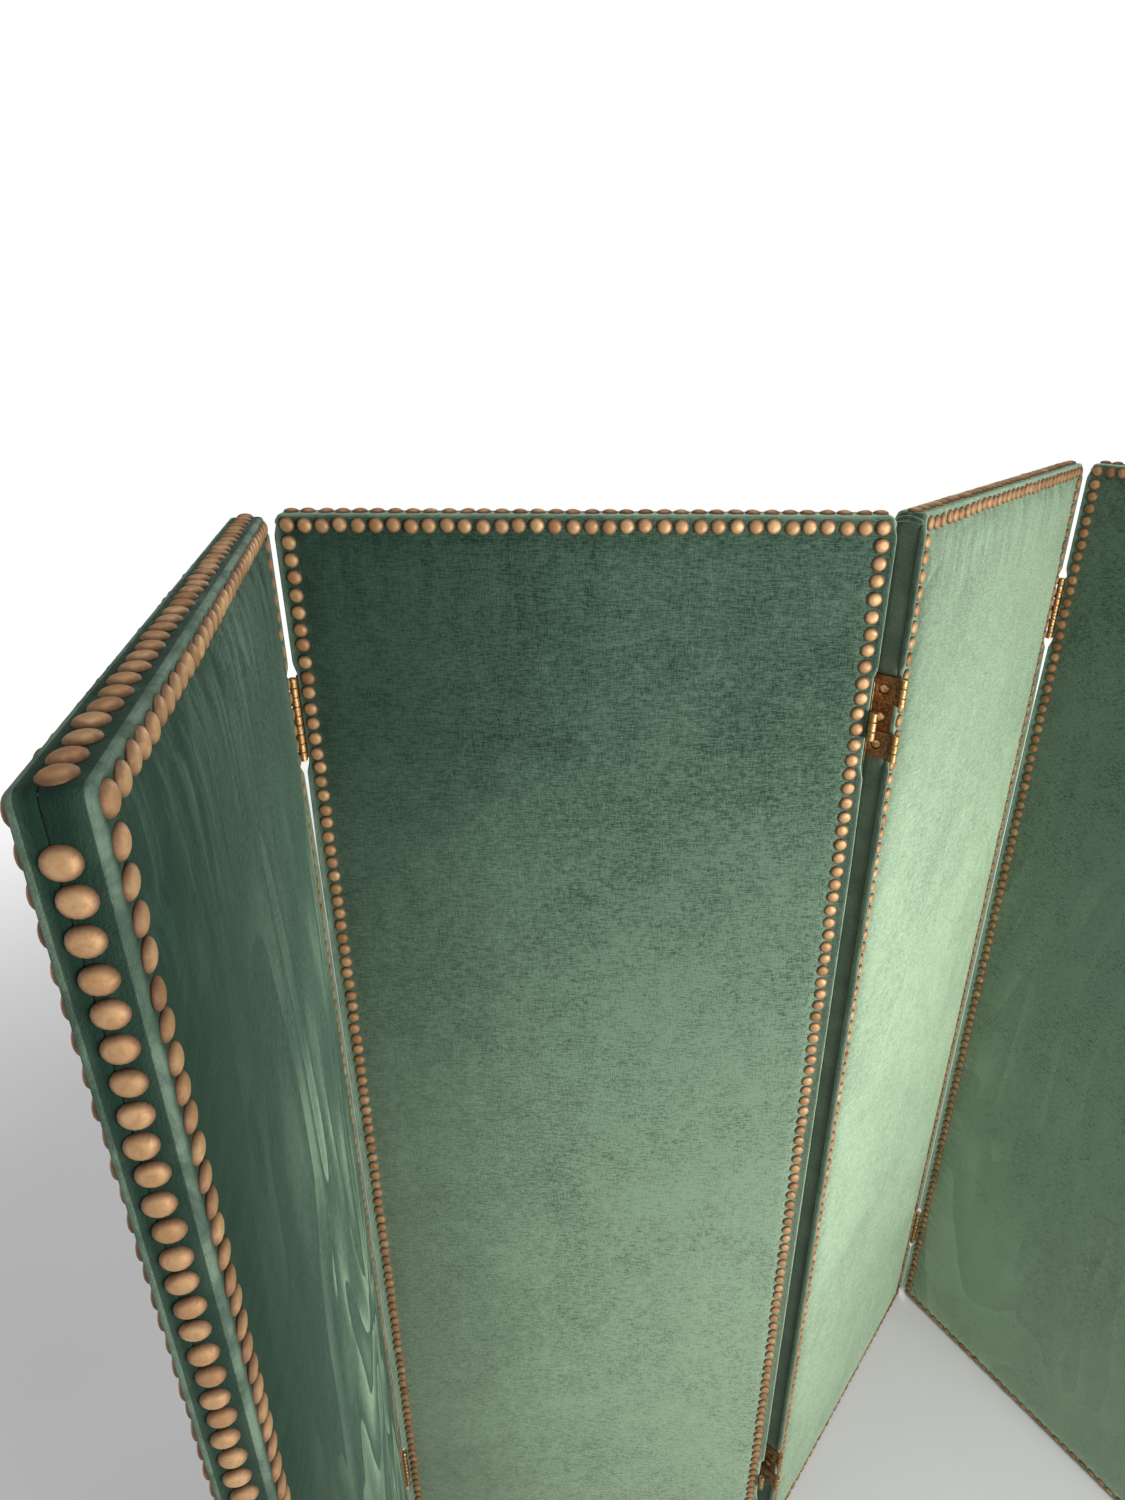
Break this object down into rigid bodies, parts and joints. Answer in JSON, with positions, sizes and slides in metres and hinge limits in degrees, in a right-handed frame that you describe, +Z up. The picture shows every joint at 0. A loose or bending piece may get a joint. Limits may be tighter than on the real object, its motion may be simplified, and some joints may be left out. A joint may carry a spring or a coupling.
{
  "type": "folding screen",
  "caption": "Freestanding upholstered folding screen: padded velvet panels with domed nail borders, joined by two-way hinges so that it zigzags open and folds flat.",
  "frame": {"origin": "on the floor under the middle of the centre left panel", "axes": "+Z up; the centre left panel's front face looks along -Y and its width runs along X"},
  "size_m": [1.2062, 0.9282, 1.525],
  "materials": {
    "velvet": "short-pile cotton velvet over thin wadding, muted green, paler where the pile catches the light",
    "timber": "planed softwood, unfinished, hidden under the covers",
    "edge_tape": "ribbed dark green tape, matt",
    "aged_brass": "antique brass, coppery on the nails and browner on the hinges, satin"
  },
  "bodies": {
    "far_left_panel": {"far_left_left_stile": "timber", "far_left_right_stile": "timber", "far_left_top_rail": "timber", "far_left_bottom_rail": "timber", "far_left_front_cover": "velvet", "far_left_rear_cover": "velvet", "far_left_right_tape": "edge_tape", "left_upper_hinge_left_leaf": "aged_brass", "left_upper_hinge_bottom_link": "aged_brass", "left_upper_hinge_top_link": "aged_brass", "left_lower_hinge_left_leaf": "aged_brass", "left_lower_hinge_bottom_link": "aged_brass", "left_lower_hinge_top_link": "aged_brass"},
    "centre_left_panel": {"centre_left_left_stile": "timber", "centre_left_right_stile": "timber", "centre_left_top_rail": "timber", "centre_left_bottom_rail": "timber", "centre_left_front_cover": "velvet", "centre_left_rear_cover": "velvet", "centre_left_left_tape": "edge_tape", "centre_left_right_tape": "edge_tape", "left_upper_hinge_right_leaf": "aged_brass", "left_upper_hinge_middle_link": "aged_brass", "left_lower_hinge_right_leaf": "aged_brass", "left_lower_hinge_middle_link": "aged_brass", "centre_upper_hinge_left_leaf": "aged_brass", "centre_upper_hinge_middle_link": "aged_brass", "centre_lower_hinge_left_leaf": "aged_brass", "centre_lower_hinge_middle_link": "aged_brass"},
    "centre_right_panel": {"centre_right_left_stile": "timber", "centre_right_right_stile": "timber", "centre_right_top_rail": "timber", "centre_right_bottom_rail": "timber", "centre_right_front_cover": "velvet", "centre_right_rear_cover": "velvet", "centre_right_left_tape": "edge_tape", "centre_right_right_tape": "edge_tape", "centre_upper_hinge_right_leaf": "aged_brass", "centre_upper_hinge_bottom_link": "aged_brass", "centre_upper_hinge_top_link": "aged_brass", "centre_lower_hinge_right_leaf": "aged_brass", "centre_lower_hinge_bottom_link": "aged_brass", "centre_lower_hinge_top_link": "aged_brass", "right_upper_hinge_left_leaf": "aged_brass", "right_upper_hinge_bottom_link": "aged_brass", "right_upper_hinge_top_link": "aged_brass", "right_lower_hinge_left_leaf": "aged_brass", "right_lower_hinge_bottom_link": "aged_brass", "right_lower_hinge_top_link": "aged_brass"},
    "far_right_panel": {"far_right_left_stile": "timber", "far_right_right_stile": "timber", "far_right_top_rail": "timber", "far_right_bottom_rail": "timber", "far_right_front_cover": "velvet", "far_right_rear_cover": "velvet", "far_right_left_tape": "edge_tape", "right_upper_hinge_right_leaf": "aged_brass", "right_upper_hinge_middle_link": "aged_brass", "right_lower_hinge_right_leaf": "aged_brass", "right_lower_hinge_middle_link": "aged_brass"}
  },
  "joints": [
    {"name": "left_fold", "type": "hinge", "parent": "centre_left_panel", "child": "far_left_panel", "pos_m": [-0.2545, -0.017, 0], "axis": [0, 0, 1], "range_deg": [-105, 73]},
    {"name": "centre_fold", "type": "hinge", "parent": "centre_left_panel", "child": "centre_right_panel", "pos_m": [0.2545, 0.017, 0], "axis": [0, 0, 1], "range_deg": [-51, 127]},
    {"name": "right_fold", "type": "hinge", "parent": "centre_right_panel", "child": "far_right_panel", "pos_m": [0.60125, 0.39117, 0], "axis": [0, 0, -1], "range_deg": [-106, 72]}
  ]
}
